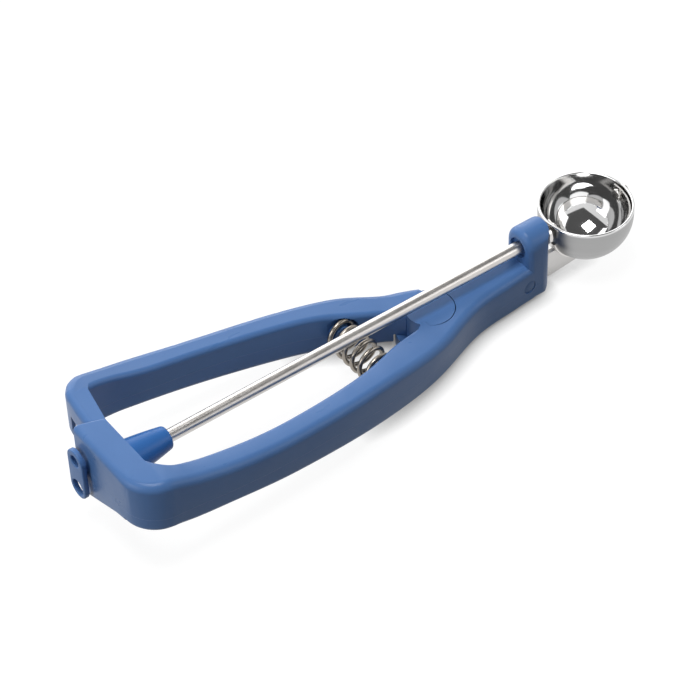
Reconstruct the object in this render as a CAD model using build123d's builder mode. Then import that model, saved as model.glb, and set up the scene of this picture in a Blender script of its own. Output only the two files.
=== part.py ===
from build123d import *
import os
from math import acos, asin, atan, cos, degrees, pi, radians, sin, sqrt, tan

os.makedirs("parts", exist_ok=True)

# Squeeze-handle ice cream scoop, in millimetres.  X runs from the hanging tab to the bowl,
# +Y is the lever side and Z is up.  The origin is under the middle of the tool, at the
# height of its lowest face.  Heights named "above the axis" are taken from the drive rod.

# ---------------------------------------------------------------- driving dimensions
overall_length = 221.4        # rear of the hanging tab to the far rivet head
grip_width = 62.4             # over both grip arms
rod_z = 21.3                  # rod axis above the lowest face of the head
rod_radius = 2.25
running_clearance = 0.08      # radial, shaft in bore
body_clearance = 0.3          # between pieces that move past each other
fit_gap = 0.02                # radial, pieces that are pressed or glued together

# gear housing across the rear of the handle; heights above the axis
housing_depth = 10.0
housing_top = 17.0
housing_roof = 1.3            # plastic over the lever slot
housing_low_end = -13.2       # underside at the open end
housing_low_corner = -4.3     # underside beside the closed corner
corner_low = -3.1             # underside of the corner
housing_end = 8.8             # open end, to the lever side of the rod
housing_end_slant = 3.5       # the open end leans back by this much
housing_edge = 1.3            # top edges of the open end and the front
housing_rear_edge = 2.2       # top edge at the rear
housing_low_edge = 1.6        # lower edge at the rear

# lever travel and gearing
scraper_sweep = 170.0         # degrees turned by the scraper in one full squeeze
pivot_reach = 123.4           # gear housing front to the pivot
rack_setback = 3.6            # gear housing front to the pitch line of the rack
rack_width = 3.4
rack_seat = 7.3               # underside of the lever tongue, above the axis
tooth_module = 0.8
pinion_teeth = 10
pressure_angle = 25.0
rack_addendum = 0.6
rack_dedendum = 1.0
pinion_addendum = 0.8
pinion_dedendum = 0.8
backlash = 0.24               # along the pitch line
rack_length = 20.1
rack_gaps_inner = -1          # tooth gaps, counted from the one over the rod
rack_gaps_outer = 6
rack_pin_radius = 0.8
rack_pin_depth = 4.2          # into the tongue
rack_pin_sink = 1.5           # into the rack
rack_pin_inner_y = 1.3        # the two pins, to the lever side of the rod
rack_pin_outer_y = 13.8
pinion_pin_radius = 0.5

# lever tongue
tongue_top = 15.4             # above the axis
tongue_tip = -3.8             # its end, to the lever side of the rod
tongue_tip_depth = 4.3        # thickness at the tip, along X
tongue_draft = 0.19           # growth in thickness per millimetre towards the arm
tongue_edge = 0.8
tongue_rear_edge = 2.4        # top edge at the rear
tongue_root = 21.0            # end inside the lever's corner block
pocket_side = 8.3             # moulded pocket in the tongue's rear face
pocket_height = 10.0
pocket_length = 18.5
pocket_width = 5.0
pocket_depth = 1.5

lever_end_side = 20.0         # inner side of the lever's corner block
lever_end_web = 0.7           # the front of the block meets the arm this much further on
lever_end_low = -3.0          # its underside, above the axis
lever_corner = 9.6
lever_inset = 0.4             # the lever's outer face lies this much further in
lever_corner_inset = 1.7      # and its rear corner this much
lever_drop = 1.0              # and its top this much lower
lever_hub = ((-9.0, 16.0), (2.7, 11.0))    # outer face beside the hub, from the pivot

# grip arms: flat-sided, with a crowned top.  The plan is drawn once for both arms: each
# station gives its reach behind the pivot as a share of pivot_reach, its outer face as a
# share of half the grip width, and its width.
grip_plan = (
    (0.835, 1.000, 9.1),
    (0.673, 0.975, 9.0),
    (0.511, 0.914, 9.0),
    (0.389, 0.853, 9.3),
    (0.267, 0.770, 10.4),
    (0.170, 0.683, 12.4),
)
# side view: the same reach, then top and underside above the axis
grip_profile = (
    (0.948, 15.0, -4.2),
    (0.835, 10.5, -6.4),
    (0.673, 6.3, -9.9),
    (0.511, 3.6, -13.1),
    (0.389, 1.9, -15.3),
    (0.267, 0.0, -17.3),
    (0.170, -2.3, -18.8),
    (0.073, -4.7, -19.9),
)
# hub and neck of the frame: distance in front of the pivot and outer face on the right
neck_right = ((-9.0, 17.9), (0.0, 14.4), (9.0, 10.8), (18.0, 8.4), (29.0, 7.4))
neck_left = ((29.0, 7.0), (18.0, 7.2), (9.0, 7.4))
shoulder = 7.9                # left shoulder of the neck, at the knuckle's seam
inner_corner = 8.0            # plan radius inside the rear corner
outer_corner = 12.0           # plan radius outside the rear corner
recess_turn = 34.0            # degrees that the arm starts below the knuckle's rear
web_gap = 0.6                 # half the gap between the arms' webs behind the knuckle
arm_crown = 3.0               # top outer edges along the arms
arm_inner_crown = 1.6         # top inner edges
arm_low_radius = 2.2          # lower edges

# pivot hub and neck; heights above the axis
hub_top = -5.6
hub_low = -20.6
hub_floor = -15.4             # top of the hub floor, under the lever's knuckle
lap_front = 3.0               # seam between the knuckle and the neck, in front of the pivot
knuckle_radius = 8.5
floor_radius = 11.6
pivot_pin_radius = 2.4
pivot_pin_depth = 6.4         # into the knuckle
pivot_head_radius = 4.2
pivot_head_height = 1.3
pivot_washer_radius = 4.8
pivot_washer_thickness = 0.6

# head block; heights above the axis
head_offset = 37.5            # pivot to the rear face of the head
head_length = 10.6
head_half_width = 6.5
head_top = 7.0
head_crown = 6.3
head_nose = 4.8               # plan radius of the two front corners
head_rear_edge = 2.4          # rear edge of the arch
head_heel = 8.0               # lower front corner, in the side view
head_low_radius = 2.6
rod_recess_radius = 3.9       # recess round the rod in the rear face
rod_recess_depth = 1.6

# shank and its lock pin; heights above the axis
shank_thickness = 1.6
shank_top = -9.7
shank_low = -20.4
shank_bury = 14.0             # length held in the head and neck
shank_heel = 3.7              # lower edge runs level this far past the head
shank_toe = -19.2
shank_toe_back = 4.0          # end of the plate behind the bowl's centre
shank_corner = 1.2
shank_pin_radius = 1.25
shank_pin_height = -13.7
shank_pin_setback = 10.3      # behind the front of the head
shank_pin_recess = 2.5        # radius of the shallow ring round the pin
shank_pin_recess_depth = 0.35

# bowl and scraper
bowl_radius = 16.5
bowl_wall = 0.9
bowl_rim = 3.57               # rim above the rod axis
bowl_rim_roll = 0.35
saddle_thickness = 0.5
saddle_width = 6.0
saddle_start = 196.0          # degrees round the bowl, from its far side
saddle_end = 262.0
scraper_gap = 0.3
scraper_thickness = 0.6
scraper_width = 5.0
scraper_rest = 5.0            # degrees below the rim side at rest
scraper_lug = 2.6             # length of the end lugs past the axis
rivet_radius = 1.2
rivet_bury = 4.0              # drive rivet's shank in the rod
rivet_head_radius = 2.1
rivet_head_height = 1.0
far_rivet_height = 1.4
far_rivet_radius = 2.3
rivet_dome = 0.45
pin_chamfer = 0.2

# rod furniture
sleeve_root_radius = 6.6
sleeve_mid_radius = 5.4
sleeve_waist = 0.55           # place of the middle radius along the sleeve
sleeve_tip_radius = 3.9
sleeve_length = 19.0
sleeve_tip_edge = 1.1
sleeve_spigot = 1.5
collar_radius = 3.9
collar_length = 1.6
rod_chamfer = 0.3
rod_end_wall = 1.2            # plastic left behind the rod's rear end

# return spring, coiled along Y between the arms; height above the axis
spring_setback = 28.4         # behind the pivot
spring_height = -9.6
spring_radius = 5.5           # to the wire's centre line
spring_wire_radius = 0.75
spring_turns = 6
spring_peg_radius = 3.6
spring_peg_length = 3.4
spring_seat = 13.4            # seat planes, from the middle of the tool

# hanging tab, to the lever side of the rod; heights above the axis
tab_thickness = 1.8
tab_gap = 1.1                 # room behind the tab
tab_width = 8.6
tab_low = -9.7
tab_high = 10.7
tab_side = 3.7
tab_hole_radius = 2.95
tab_small_hole_radius = 2.15
tab_hole_spacing = 11.9
tab_hole_height = -5.5
tab_neck = 4.4
tab_notch = 2.1               # radius of the notches beside the neck
tab_neck_height = 1.6
tab_edge = 0.4
tab_peg_height = 1.3
tab_boss_radius = 2.2
tab_peg_radius = 1.3
tab_peg_depth = 2.6

# ---------------------------------------------------------------- derived places
rear_x = -overall_length / 2
housing_rear_x = rear_x + tab_thickness + tab_gap
housing_front_x = housing_rear_x + housing_depth
pivot_x = housing_front_x + pivot_reach
head_rear_x = pivot_x + head_offset
head_front_x = head_rear_x + head_length
bowl_x = overall_length / 2 - far_rivet_height - bowl_radius
half_grip = grip_width / 2
head_low = -rod_z

pinion_radius = tooth_module * pinion_teeth / 2
rack_radius = pivot_reach + rack_setback
gear_ratio = rack_radius / pinion_radius
squeeze_angle = scraper_sweep / gear_ratio
rack_inner = rack_radius - rack_width / 2
rack_outer = rack_radius + rack_width / 2
pinion_rear_x = pivot_x - rack_outer
pinion_front_x = pivot_x - rack_inner
pinion_tip = pinion_radius + pinion_addendum
pinion_bore = pinion_tip + body_clearance
bore_rear_x = pinion_rear_x - body_clearance
knuckle_floor = hub_floor + body_clearance
spring_x = pivot_x - spring_setback
axis_plane = Plane.YZ
corner_turn = outer_corner - half_grip
corner_start = inner_corner + grip_plan[0][2] - half_grip
slot_end = tongue_tip - sin(radians(squeeze_angle)) * rack_radius - 2 * body_clearance
slot_rear_x = pivot_x - rack_outer - body_clearance
groove_width = rack_outer - sqrt(rack_inner**2 - slot_end**2) + 2 * body_clearance
slot_floor = rack_seat - body_clearance
slot_roof = tongue_top + body_clearance
groove_floor = pinion_radius - rack_addendum - body_clearance
rod_rear_x = housing_rear_x + rod_end_wall + body_clearance
collar_x = head_front_x + body_clearance
rod_front_x = bowl_x - bowl_radius - running_clearance
pinion_pin_x = pinion_rear_x + rack_width / 2
scraper_outer = bowl_radius - bowl_wall - scraper_gap
scraper_inner = scraper_outer - scraper_thickness
lug_face_x = bowl_x - sqrt(scraper_inner**2 - rivet_head_radius**2)
shank_rear_x = head_front_x - shank_bury
shank_pin_x = head_front_x - shank_pin_setback
pin_ring_y = head_half_width - shank_pin_recess_depth
counterbore_top = hub_low + pivot_head_height + pivot_washer_thickness + body_clearance
pivot_head_top = hub_low + pivot_head_height
spring_pocket_radius = spring_radius + spring_wire_radius + body_clearance
tongue_rear_x = pivot_x - rack_outer - 1.0
tongue_tip_x = pivot_x - rack_outer + tongue_tip_depth
rack_pin_places = [
    (pivot_x - sqrt(rack_radius**2 - y**2), y) for y in (rack_pin_inner_y, rack_pin_outer_y)
]


def above_axis(height):
    """Z of a height given above the rod axis."""
    return rod_z + height


def rack_arc_x(radius, y):
    """X of the point at this radius from the pivot, on the gear side."""
    return pivot_x - sqrt(radius**2 - y**2)


def grip_points(side, inner):
    """Plan points of one arm's outer or inner face, from the rear forwards."""
    points = []
    for reach, outer, width in grip_plan:
        face = outer * half_grip - (width if inner else 0.0)
        points.append((pivot_x - reach * pivot_reach, side * face))
    return points


def side_view(rear, rear_top, rear_low, drop=0.0):
    """Side view of an arm, from the flat rear end to the front of the head."""
    tops = [
        (pivot_x - reach * pivot_reach, above_axis(top - drop)) for reach, top, low in grip_profile
    ]
    lows = [(pivot_x - reach * pivot_reach, above_axis(low)) for reach, top, low in grip_profile]
    top_start = (housing_front_x, above_axis(rear_top))
    low_start = (rear - body_clearance, above_axis(rear_low))
    low_bend = (housing_front_x, above_axis(rear_low))
    hub_end = (pivot_x, above_axis(hub_top))
    low_end = (head_front_x, above_axis(head_low))
    with BuildSketch(Plane.XZ) as view:
        with BuildLine():
            Line((low_start[0], top_start[1]), top_start)
            Spline(top_start, *tops, hub_end, tangents=[(1, -0.1), (1, 0)])
            Line(hub_end, (head_front_x, hub_end[1]))
            Line((head_front_x, hub_end[1]), low_end)
            Spline(
                low_end, (pivot_x, above_axis(hub_low)), *lows[::-1], low_bend,
                tangents=[(-1, 0), (-1, 0.05)],
            )
            Line(low_bend, low_start)
            Line(low_start, (low_start[0], top_start[1]))
        make_face()
    return view.sketch


def outward(face, side):
    """How far an upright face looks away from the middle of the tool."""
    normal = face.normal_at(face.center())
    return side * normal.Y - normal.X


def long_edges(part, low_end, side, keep):
    """Edges between the top (or the underside) and an arm's outer (side > 0) or inner faces."""
    sign = -1 if low_end else 1
    sides = part.faces().filter_by(
        lambda face: abs(face.normal_at(face.center()).Z) < 0.1 and side(face)
    )
    side_edges = [edge for face in sides for edge in face.edges()]
    found = []
    for face in part.faces().filter_by(lambda face: sign * face.normal_at(face.center()).Z > 0.5):
        for edge in face.edges():
            if keep(edge.position_at(0.5)) and any(edge.is_same(other) for other in side_edges):
                found.append(edge)
    return found


# ---------------------------------------------------------------- handle frame
with BuildPart() as head_block:
    # arched top in the front view, rounded nose in plan
    with BuildSketch(axis_plane.offset(head_rear_x)) as head_arch:
        with Locations((0, above_axis(head_low))):
            Rectangle(
                2 * head_half_width, head_top - head_low, align=(Align.CENTER, Align.MIN),
            )
        fillet(head_arch.vertices().group_by(Axis.Y)[-1], head_crown)
        fillet(head_arch.vertices().group_by(Axis.Y)[0], head_low_radius)
    extrude(amount=head_length)
    with BuildSketch(Plane.XY) as head_plan:
        with Locations(((head_rear_x + head_front_x) / 2, 0)):
            Rectangle(head_length, 2 * head_half_width)
        fillet(head_plan.vertices().group_by(Axis.X)[-1], head_nose)
    extrude(amount=2 * rod_z, mode=Mode.INTERSECT)
    with BuildSketch(Plane.XZ) as head_side:
        with Locations((head_rear_x, above_axis(head_low))):
            Rectangle(head_length, head_top - head_low, align=(Align.MIN, Align.MIN))
        fillet(head_side.vertices().group_by(Axis.Z)[0].sort_by(Axis.X)[-1], head_heel)
    extrude(amount=grip_width, both=True, mode=Mode.INTERSECT)
    rear_edges = head_block.edges().group_by(Axis.X)[0]
    fillet(rear_edges.filter_by(lambda edge: edge.center().Z > rod_z), head_rear_edge)

frame_body_front = head_front_x - head_heel
with BuildPart() as frame_body:
    # rear corner, arm, hub and neck: the plan cut to the side view
    with BuildSketch(Plane.XY):
        with BuildLine():
            outer_face = grip_points(-1, False)
            inner_face = grip_points(-1, True)
            neck_face = [(pivot_x + x, -y) for x, y in neck_right]
            left_face = [(pivot_x + x, y) for x, y in neck_left]
            neck_end = (frame_body_front, head_half_width)
            seam = (pivot_x + lap_front, shoulder)
            recess_radius = knuckle_radius + body_clearance
            recess_end = (
                pivot_x - recess_radius * cos(radians(recess_turn)),
                -recess_radius * sin(radians(recess_turn)),
            )
            Line((housing_rear_x, corner_start), (housing_rear_x, outer_corner - half_grip))
            CenterArc(
                (housing_rear_x + outer_corner, outer_corner - half_grip), outer_corner, 180, 90
            )
            Spline(
                (housing_rear_x + outer_corner, -half_grip), *outer_face, *neck_face,
                (neck_end[0], -neck_end[1]), tangents=[(1, 0), (1, 0.05)],
            )
            Line((neck_end[0], -neck_end[1]), neck_end)
            Spline(neck_end, *left_face, seam, tangents=[(-1, 0.02), (-1, 0.45)])
            Polyline(seam, (seam[0], 0), (pivot_x, 0), recess_end)
            Spline(
                recess_end, *inner_face[::-1],
                (housing_front_x + inner_corner, corner_start - inner_corner),
                tangents=[(-1, -0.4), (-1, 0.03)],
            )
            CenterArc((housing_front_x + inner_corner, corner_start), inner_corner, 270, -90)
            Line((housing_front_x, corner_start), (housing_rear_x, corner_start))
        make_face()
    extrude(amount=3 * rod_z)
    extrude(
        side_view(housing_rear_x, housing_top, corner_low),
        amount=grip_width, both=True, mode=Mode.INTERSECT,
    )
    def frame_edge(spot):
        """True along the arm and the corner."""
        in_arm = spot.Y < -neck_end[1] + 1 and spot.X < frame_body_front - 1
        return in_arm and abs(spot.Y - corner_start) > body_clearance

    for low_end, side, radius in (
        (True, lambda face: True, arm_low_radius),
        (False, lambda face: outward(face, -1) > 0, arm_crown),
        (False, lambda face: outward(face, -1) < 0, arm_inner_crown),
    ):
        fillet(long_edges(frame_body, low_end, side, frame_edge), radius)

with BuildPart() as handle_frame:
    # gear housing: a slanted open end, and an underside that deepens towards it
    with BuildSketch(Plane.XY.offset(above_axis(housing_low_end))):
        Polygon(
            (housing_rear_x, corner_turn),
            (housing_rear_x + outer_corner, corner_turn),
            (housing_front_x, corner_start),
            (housing_front_x, housing_end - housing_end_slant),
            (housing_rear_x, housing_end),
            align=None,
        )
    extrude(amount=housing_top - housing_low_end)
    with BuildSketch(Plane.YZ.offset(housing_rear_x)):
        Polygon(
            (housing_end, above_axis(housing_top)),
            (housing_end, above_axis(housing_low_end)),
            (corner_start, above_axis(housing_low_corner)),
            (corner_turn, above_axis(corner_low)),
            (corner_turn, above_axis(housing_top)),
            align=None,
        )
    extrude(amount=housing_depth, mode=Mode.INTERSECT)
    lid_edges = handle_frame.edges().group_by(Axis.Z)[-1].sort_by(Axis.X)
    fillet(lid_edges[0], housing_rear_edge)
    lid_edges = handle_frame.edges().group_by(Axis.Z)[-1].sort_by(Axis.Y)
    fillet(lid_edges[-1], housing_edge)
    rear_edges = handle_frame.edges().group_by(Axis.X)[0]
    fillet(rear_edges.filter_by(lambda edge: edge.center().Z < rod_z), housing_low_edge)
    add(frame_body.part)
    # floor under the lever's knuckle
    with Locations((pivot_x, 0, above_axis(hub_low))):
        Cylinder(floor_radius, hub_floor - hub_low, align=(Align.CENTER, Align.CENTER, Align.MIN))
    add(head_block.part)
    # round recess for the knuckle, open towards the lever
    with BuildSketch(Plane.XY.offset(above_axis(hub_floor))):
        with Locations((pivot_x, 0)):
            Circle(knuckle_radius + body_clearance)
    extrude(amount=hub_top - hub_floor + body_clearance, mode=Mode.SUBTRACT)
    # slot for the lever's tongue, open to the front and at the lever end
    with BuildSketch(Plane.XY.offset(above_axis(slot_floor))):
        with Locations((slot_rear_x, slot_end)):
            Rectangle(2 * housing_depth, grip_width, align=(Align.MIN, Align.MIN))
    extrude(amount=slot_roof - slot_floor, mode=Mode.SUBTRACT)
    # groove for the rack under the slot
    with BuildSketch(Plane.XY.offset(above_axis(groove_floor))):
        with Locations((slot_rear_x, slot_end)):
            Rectangle(
                groove_width, grip_width, align=(Align.MIN, Align.MIN),
            )
    extrude(amount=slot_floor - groove_floor, mode=Mode.SUBTRACT)
    # bore for the pinion, entered from the front, and the blind bore for the rod's end
    with BuildSketch(axis_plane.offset(bore_rear_x)):
        with Locations((0, rod_z)):
            Circle(pinion_bore)
    extrude(amount=housing_depth, mode=Mode.SUBTRACT)
    with BuildSketch(axis_plane.offset(rod_rear_x - body_clearance)):
        with Locations((0, rod_z)):
            Circle(rod_radius + running_clearance)
    extrude(amount=housing_depth / 2, mode=Mode.SUBTRACT)
    # bore for the rod through the head, with its recess at the rear
    with BuildSketch(axis_plane.offset(head_rear_x - head_length)):
        with Locations((0, rod_z)):
            Circle(rod_radius + running_clearance)
    extrude(amount=3 * head_length, mode=Mode.SUBTRACT)
    with BuildSketch(axis_plane.offset(head_rear_x + rod_recess_depth)):
        with Locations((0, rod_z)):
            Circle(rod_recess_radius)
    extrude(amount=-head_length, mode=Mode.SUBTRACT)
    # slot for the shank plate, and the hole and rings of its lock pin
    with Locations((shank_rear_x, 0, above_axis(shank_low))):
        Box(
            2 * shank_bury, shank_thickness + 2 * fit_gap, shank_top - shank_low + fit_gap,
            align=(Align.MIN, Align.CENTER, Align.MIN), mode=Mode.SUBTRACT,
        )
    with BuildSketch(Plane.XZ):
        with Locations((shank_pin_x, above_axis(shank_pin_height))):
            Circle(shank_pin_radius + fit_gap)
    extrude(amount=2 * head_half_width, both=True, mode=Mode.SUBTRACT)
    for side in (-1, 1):
        with BuildSketch(Plane.XZ.offset(side * pin_ring_y)):
            with Locations((shank_pin_x, above_axis(shank_pin_height))):
                Circle(shank_pin_recess)
        extrude(amount=side * head_half_width, mode=Mode.SUBTRACT)
    # pivot bore through the floor, with its counterbore below
    with Locations((pivot_x, 0, above_axis(hub_floor))):
        Cylinder(pivot_pin_radius + running_clearance, 3 * pivot_pin_depth, mode=Mode.SUBTRACT)
    with Locations((pivot_x, 0, above_axis(counterbore_top))):
        Cylinder(
            pivot_washer_radius + body_clearance, pivot_pin_depth,
            align=(Align.CENTER, Align.CENTER, Align.MAX), mode=Mode.SUBTRACT,
        )
    # socket for the hanging tab's peg
    with BuildSketch(axis_plane.offset(housing_rear_x)):
        with Locations((tab_side, above_axis(tab_peg_height))):
            Circle(tab_peg_radius + fit_gap)
    extrude(amount=tab_peg_depth + fit_gap, mode=Mode.SUBTRACT)
    # round seat for the return spring, with its peg
    with BuildSketch(Plane.XZ.offset(spring_seat)):
        with Locations((spring_x, above_axis(spring_height))):
            Circle(spring_pocket_radius)
            Circle(spring_peg_radius, mode=Mode.SUBTRACT)
    extrude(amount=-spring_seat, mode=Mode.SUBTRACT)
    with BuildSketch(Plane.XZ.offset(spring_seat)):
        with Locations((spring_x, above_axis(spring_height))):
            Circle(spring_peg_radius)
    extrude(amount=-spring_peg_length)

handle_frame.part.label = "handle_frame"
export_step(handle_frame.part, "parts/handle_frame.step")

# ---------------------------------------------------------------- lever arm
with BuildPart() as lever_body:
    # corner block and arm, up to the seam with the neck
    with BuildSketch(Plane.XY):
        with BuildLine():
            outer_face = [(x, y - lever_inset) for x, y in grip_points(1, False)]
            inner_face = grip_points(1, True)
            beside_hub, seam = [(pivot_x + x, y) for x, y in lever_hub]
            web_start = (pivot_x - knuckle_radius, 3 * web_gap)
            end_rear = (rack_arc_x(rack_outer, lever_end_side), lever_end_side)
            corner_side = half_grip - lever_corner_inset - lever_corner
            corner_centre = (rack_arc_x(rack_outer - lever_corner, corner_side), corner_side)
            touch_angle = 180.0 - degrees(asin(corner_side / (rack_outer - lever_corner)))
            rear_angle = 180.0 - degrees(asin(lever_end_side / rack_outer))
            end_front = (tongue_tip_x + tongue_draft * (lever_end_side - tongue_tip), lever_end_side)
            Line(end_front, end_rear)
            CenterArc((pivot_x, 0), rack_outer, touch_angle, rear_angle - touch_angle)
            CenterArc(corner_centre, lever_corner, 90.0, touch_angle - 90.0)
            Spline(
                (corner_centre[0], half_grip - lever_corner_inset), *outer_face,
                beside_hub, seam, tangents=[(1, 0.06), (1, -0.5)],
            )
            Polyline(seam, (seam[0], 3 * web_gap), web_start)
            inner_start = (end_front[0] + lever_end_web, half_grip - grip_plan[0][2] - 1.0)
            Spline(web_start, *inner_face[::-1], inner_start, tangents=[(-0.6, 1), (-1, -0.2)])
            Line(inner_start, end_front)
        make_face()
    extrude(amount=3 * rod_z)
    extrude(
        side_view(housing_rear_x, tongue_top, lever_end_low, lever_drop),
        amount=grip_width, both=True, mode=Mode.INTERSECT,
    )
    def lever_edge(spot):
        """True along the arm, short of the hub and of the corner block's inner end."""
        in_arm = spot.Y > 3 * web_gap + body_clearance and spot.X < pivot_x - 2 * knuckle_radius
        at_end = end_front[0] - 0.1 < spot.X < inner_start[0] and spot.Y < half_grip / 1.2
        return in_arm and abs(spot.Y - lever_end_side) > body_clearance and not at_end

    for low_end, side, radius in (
        (True, lambda face: True, arm_low_radius),
        (False, lambda face: outward(face, 1) > 0, arm_crown),
        (False, lambda face: outward(face, 1) < 0, arm_inner_crown),
    ):
        fillet(long_edges(lever_body, low_end, side, lever_edge), radius)
with BuildPart() as lever_arm:
    # tongue that carries the rack into the gear housing
    with BuildSketch(Plane.XY.offset(above_axis(rack_seat))):
        Polygon(
            (tongue_rear_x, tongue_tip),
            (tongue_tip_x, tongue_tip),
            (tongue_tip_x + tongue_draft * (tongue_root - tongue_tip), tongue_root),
            (tongue_rear_x, tongue_root),
            align=None,
        )
        with Locations((pivot_x, 0)):
            Circle(rack_outer, mode=Mode.INTERSECT)
    extrude(amount=tongue_top - rack_seat)
    fillet(
        lever_arm.edges().filter_by(GeomType.CIRCLE).filter_by(
            lambda edge: edge.radius > rack_inner
        ).sort_by(Axis.Z)[-1],
        tongue_rear_edge,
    )
    add(lever_body.part)
    # knuckle
    with Locations((pivot_x, 0, above_axis(knuckle_floor))):
        Cylinder(
            knuckle_radius, hub_top - knuckle_floor,
            align=(Align.CENTER, Align.CENTER, Align.MIN),
        )
    # the lower part is cut back round the hub floor
    with Locations((pivot_x, 0, above_axis(knuckle_floor))):
        Cylinder(
            floor_radius + 3 * body_clearance, hub_floor - hub_low + 3 * body_clearance,
            align=(Align.CENTER, Align.CENTER, Align.MAX), mode=Mode.SUBTRACT,
        )
    # blind bore for the pivot pin
    with Locations((pivot_x, 0, above_axis(knuckle_floor))):
        Cylinder(
            pivot_pin_radius + fit_gap, pivot_pin_depth + fit_gap,
            align=(Align.CENTER, Align.CENTER, Align.MIN), mode=Mode.SUBTRACT,
        )
    # holes for the rack's two pins
    with Locations(*[(x, y, above_axis(rack_seat)) for x, y in rack_pin_places]):
        Cylinder(
            rack_pin_radius + fit_gap, rack_pin_depth + fit_gap,
            align=(Align.CENTER, Align.CENTER, Align.MIN), mode=Mode.SUBTRACT,
        )
    # moulded pocket in the rear of the tongue
    with BuildSketch(axis_plane.offset(tongue_rear_x - tongue_edge)):
        with Locations((pocket_side, above_axis(pocket_height))):
            SlotOverall(pocket_length, pocket_width)
    extrude(amount=pocket_depth + tongue_edge, mode=Mode.SUBTRACT)
    # round seat for the return spring, with its peg
    with BuildSketch(Plane.XZ.offset(-spring_seat)):
        with Locations((spring_x, above_axis(spring_height))):
            Circle(spring_pocket_radius)
            Circle(spring_peg_radius, mode=Mode.SUBTRACT)
    extrude(amount=spring_seat, mode=Mode.SUBTRACT)
    with BuildSketch(Plane.XZ.offset(-spring_seat)):
        with Locations((spring_x, above_axis(spring_height))):
            Circle(spring_peg_radius)
    extrude(amount=spring_peg_length)

lever_arm.part.label = "lever_arm"
export_step(lever_arm.part, "parts/lever_arm.step")

# ---------------------------------------------------------------- rack and its pins
tooth_pitch = pi * tooth_module
tooth_angle = degrees(tooth_pitch / rack_radius)
gap_tip_half = (tooth_pitch / 2 + backlash) / 2 + rack_addendum * tan(radians(pressure_angle))
gap_root_half = (tooth_pitch / 2 + backlash) / 2 - rack_dedendum * tan(radians(pressure_angle))
with BuildPart() as gear_rack:
    with BuildSketch(Plane.XY.offset(above_axis(pinion_radius - rack_addendum))):
        with Locations((pivot_x, 0)):
            Circle(rack_outer)
            Circle(rack_inner, mode=Mode.SUBTRACT)
        with Locations((housing_front_x, tongue_tip)):
            Rectangle(
                2 * housing_depth, rack_length,
                align=(Align.CENTER, Align.MIN), mode=Mode.INTERSECT,
            )
    extrude(amount=rack_seat - pinion_radius + rack_addendum)
    for number in range(rack_gaps_inner, rack_gaps_outer + 1):
        gap_turn = Rot(Z=-number * tooth_angle)
        gap_plane = Plane(Location((pivot_x, 0, rod_z)) * gap_turn * Location(Plane.YZ.offset(-rack_outer - 1)))
        with BuildSketch(gap_plane):
            Polygon(
                (-gap_tip_half, pinion_radius - rack_addendum),
                (gap_tip_half, pinion_radius - rack_addendum),
                (gap_root_half, pinion_radius + rack_dedendum),
                (-gap_root_half, pinion_radius + rack_dedendum),
                align=None,
            )
        extrude(amount=rack_width + 2, mode=Mode.SUBTRACT)
    with Locations(*[(x, y, above_axis(rack_seat)) for x, y in rack_pin_places]):
        Cylinder(
            rack_pin_radius + fit_gap, rack_pin_sink + fit_gap,
            align=(Align.CENTER, Align.CENTER, Align.MAX), mode=Mode.SUBTRACT,
        )

gear_rack.part.label = "gear_rack"
export_step(gear_rack.part, "parts/gear_rack.step")

for pin_name, (pin_x, pin_y) in zip(("rack_pin_inner", "rack_pin_outer"), rack_pin_places):
    with BuildPart() as rack_pin:
        with Locations((pin_x, pin_y, above_axis(rack_seat - rack_pin_sink))):
            Cylinder(
                rack_pin_radius, rack_pin_sink + rack_pin_depth,
                align=(Align.CENTER, Align.CENTER, Align.MIN),
            )
        chamfer(rack_pin.edges().filter_by(GeomType.CIRCLE), pin_chamfer)
    rack_pin.part.label = pin_name
    export_step(rack_pin.part, f"parts/{pin_name}.step")

# ---------------------------------------------------------------- pinion and its pin
base_radius = pinion_radius * cos(radians(pressure_angle))


def involute(angle):
    """Angle between the pitch point's radius and an involute's origin."""
    return tan(angle) - angle


def flank_half_angle(radius):
    """Half the angle that a pinion tooth takes up at this radius."""
    pressure_here = acos(min(1.0, base_radius / radius))
    pitch_half = pi / (2 * pinion_teeth)
    return pitch_half + involute(radians(pressure_angle)) - involute(pressure_here)


pinion_root = pinion_radius - pinion_dedendum
flank_radii = [
    max(base_radius, pinion_root) + step * (pinion_tip - max(base_radius, pinion_root)) / 5
    for step in range(6)
]
with BuildPart() as pinion:
    with BuildSketch(axis_plane.offset(pinion_rear_x)):
        with Locations((0, rod_z)):
            Circle(pinion_root)
            with PolarLocations(0, pinion_teeth, start_angle=90.0):
                Polygon(
                    *[(r * cos(flank_half_angle(r)), -r * sin(flank_half_angle(r))) for r in [pinion_root - 0.2] + flank_radii],
                    *[(r * cos(flank_half_angle(r)), r * sin(flank_half_angle(r))) for r in flank_radii[::-1] + [pinion_root - 0.2]],
                    align=None,
                )
            Circle(rod_radius + fit_gap, mode=Mode.SUBTRACT)
    extrude(amount=rack_width)
    with BuildSketch(Plane.XZ):
        with Locations((pinion_pin_x, rod_z)):
            Circle(pinion_pin_radius + fit_gap)
    extrude(amount=2 * pinion_tip, both=True, mode=Mode.SUBTRACT)

pinion.part.label = "pinion"
export_step(pinion.part, "parts/pinion.step")

with BuildPart() as pinion_pin:
    with BuildSketch(Plane.XZ):
        with Locations((pinion_pin_x, rod_z)):
            Circle(pinion_pin_radius)
    extrude(amount=pinion_root - fit_gap, both=True)
    chamfer(pinion_pin.edges().filter_by(GeomType.CIRCLE), pinion_pin_radius / 4)

pinion_pin.part.label = "pinion_pin"
export_step(pinion_pin.part, "parts/pinion_pin.step")

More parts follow.
